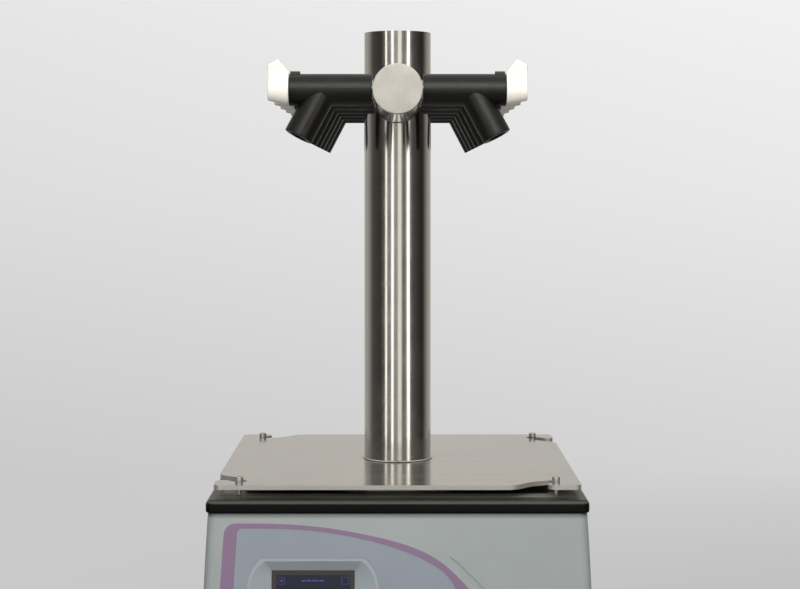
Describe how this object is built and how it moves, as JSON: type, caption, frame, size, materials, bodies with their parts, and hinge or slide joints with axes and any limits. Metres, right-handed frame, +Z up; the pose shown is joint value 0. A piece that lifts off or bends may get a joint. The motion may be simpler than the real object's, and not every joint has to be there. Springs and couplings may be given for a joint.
{
  "type": "freeze dryer",
  "caption": "Benchtop freeze dryer: cabinet with a cold chamber under a twist-lock plate, riser and cross-tube manifold of rubber flask valves.",
  "frame": {"origin": "on the bench, under the riser's axis, midway between the manifold's two ends", "axes": "+Z up along the riser, +Y from the front with the display to the rear, +X to the right seen from the front"},
  "size_m": [0.406, 0.54, 1.0304],
  "materials": {
    "stainless_tube": "bright brushed and polished along the tube",
    "stainless_plate": "satin rolled plate",
    "stainless_disc": "fine satin",
    "valve_rubber": "moulded, slight sheen",
    "knob_white": "moulded",
    "cap_black": "fine texture, soft sheen",
    "fascia_grey": "moulded, grey-green",
    "panel_grey": "powder coat, fine texture",
    "band_purple": "satin",
    "overlay_lavender": "satin",
    "bezel_grey": "satin",
    "display_frame": "satin",
    "screen_glass": "lit display behind a clear touch glass",
    "board_green": "solder mask",
    "gasket_black": "moulded",
    "foam": "foam",
    "copper": "drawn tube",
    "compressor_black": "enamel",
    "radiator_aluminium": "mill fins",
    "fan_sheet": "pressed sheet",
    "fan_plastic": "moulded",
    "inlet_black": "moulded",
    "rocker_black": "moulded",
    "drain_brass": "nickel plated",
    "lever_grip": "dipped",
    "fixing_steel": "turned",
    "foot_rubber": "moulded"
  },
  "bodies": {
    "cabinet": {"base_pan": "panel_grey", "left_side_panel": "panel_grey", "right_side_panel": "panel_grey", "rear_panel": "panel_grey", "front_fascia": "fascia_grey", "accent_band": "band_purple", "control_overlay": "overlay_lavender", "display_bezel": "bezel_grey", "display_module": "display_frame", "display_glass": "screen_glass", "control_board": "board_green", "top_cap": "cap_black", "chamber_gasket": "gasket_black", "condenser_chamber": "stainless_plate", "chamber_insulation": "foam", "evaporator_coil": "copper", "compressor": "compressor_black", "compressor_grommets": "foot_rubber", "radiator": "radiator_aluminium", "fan_frame": "fan_sheet", "refrigerant_lines": "copper", "vacuum_port": "stainless_disc", "power_inlet": "inlet_black", "drain_valve": "drain_brass", "feet": "foot_rubber", "corner_bolts": "fixing_steel", "panel_screws": "fixing_steel"},
    "manifold": {"manifold_plate": "stainless_plate", "riser_tube": "stainless_tube", "riser_cap": "stainless_disc", "cross_tube": "stainless_tube", "cross_end_caps": "stainless_disc", "port_stubs": "stainless_tube", "valve_body_right_1": "valve_rubber", "valve_body_right_2": "valve_rubber", "valve_body_right_3": "valve_rubber", "valve_body_right_4": "valve_rubber", "valve_body_right_5": "valve_rubber", "valve_body_right_6": "valve_rubber", "valve_body_left_1": "valve_rubber", "valve_body_left_2": "valve_rubber", "valve_body_left_3": "valve_rubber", "valve_body_left_4": "valve_rubber", "valve_body_left_5": "valve_rubber", "valve_body_left_6": "valve_rubber"},
    "knob_right_1": {"valve_knob_right_1": "knob_white"},
    "knob_right_2": {"valve_knob_right_2": "knob_white"},
    "knob_right_3": {"valve_knob_right_3": "knob_white"},
    "knob_right_4": {"valve_knob_right_4": "knob_white"},
    "knob_right_5": {"valve_knob_right_5": "knob_white"},
    "knob_right_6": {"valve_knob_right_6": "knob_white"},
    "knob_left_1": {"valve_knob_left_1": "knob_white"},
    "knob_left_2": {"valve_knob_left_2": "knob_white"},
    "knob_left_3": {"valve_knob_left_3": "knob_white"},
    "knob_left_4": {"valve_knob_left_4": "knob_white"},
    "knob_left_5": {"valve_knob_left_5": "knob_white"},
    "knob_left_6": {"valve_knob_left_6": "knob_white"},
    "fan": {"fan_rotor": "fan_plastic"},
    "rocker": {"power_rocker": "rocker_black"},
    "drain_handle": {"drain_lever": "lever_grip"}
  },
  "joints": [
    {"name": "manifold_twist", "type": "hinge", "parent": "cabinet", "child": "manifold", "pos_m": [0, 0, 0.5414], "axis": [0, 0, 1], "range_deg": [0, 8]},
    {"name": "knob_right_1_turn", "type": "hinge", "parent": "manifold", "child": "knob_right_1", "pos_m": [0.1098, -0.245, 0.95226], "axis": [1, 0, 0], "range_deg": [0, 180]},
    {"name": "knob_right_2_turn", "type": "hinge", "parent": "manifold", "child": "knob_right_2", "pos_m": [0.1098, -0.147, 0.95226], "axis": [1, 0, 0], "range_deg": [0, 180]},
    {"name": "knob_right_3_turn", "type": "hinge", "parent": "manifold", "child": "knob_right_3", "pos_m": [0.1098, -0.049, 0.95226], "axis": [1, 0, 0], "range_deg": [0, 180]},
    {"name": "knob_right_4_turn", "type": "hinge", "parent": "manifold", "child": "knob_right_4", "pos_m": [0.1098, 0.049, 0.95226], "axis": [1, 0, 0], "range_deg": [0, 180]},
    {"name": "knob_right_5_turn", "type": "hinge", "parent": "manifold", "child": "knob_right_5", "pos_m": [0.1098, 0.147, 0.95226], "axis": [1, 0, 0], "range_deg": [0, 180]},
    {"name": "knob_right_6_turn", "type": "hinge", "parent": "manifold", "child": "knob_right_6", "pos_m": [0.1098, 0.245, 0.95226], "axis": [1, 0, 0], "range_deg": [0, 180]},
    {"name": "knob_left_1_turn", "type": "hinge", "parent": "manifold", "child": "knob_left_1", "pos_m": [-0.1098, -0.245, 0.95226], "axis": [-1, 0, 0], "range_deg": [0, 180]},
    {"name": "knob_left_2_turn", "type": "hinge", "parent": "manifold", "child": "knob_left_2", "pos_m": [-0.1098, -0.147, 0.95226], "axis": [-1, 0, 0], "range_deg": [0, 180]},
    {"name": "knob_left_3_turn", "type": "hinge", "parent": "manifold", "child": "knob_left_3", "pos_m": [-0.1098, -0.049, 0.95226], "axis": [-1, 0, 0], "range_deg": [0, 180]},
    {"name": "knob_left_4_turn", "type": "hinge", "parent": "manifold", "child": "knob_left_4", "pos_m": [-0.1098, 0.049, 0.95226], "axis": [-1, 0, 0], "range_deg": [0, 180]},
    {"name": "knob_left_5_turn", "type": "hinge", "parent": "manifold", "child": "knob_left_5", "pos_m": [-0.1098, 0.147, 0.95226], "axis": [-1, 0, 0], "range_deg": [0, 180]},
    {"name": "knob_left_6_turn", "type": "hinge", "parent": "manifold", "child": "knob_left_6", "pos_m": [-0.1098, 0.245, 0.95226], "axis": [-1, 0, 0], "range_deg": [0, 180]},
    {"name": "fan_spin", "type": "hinge", "parent": "cabinet", "child": "fan", "pos_m": [0, 0.1585, 0.146], "axis": [0, 1, 0], "continuous": true},
    {"name": "rocker_tip", "type": "hinge", "parent": "cabinet", "child": "rocker", "pos_m": [0.154, 0.227, 0.098], "axis": [1, 0, 0], "range_deg": [0, 18]},
    {"name": "drain_lever_turn", "type": "hinge", "parent": "cabinet", "child": "drain_handle", "pos_m": [0, 0.245, 0.2967], "axis": [0, 0, 1], "range_deg": [0, 90]}
  ]
}
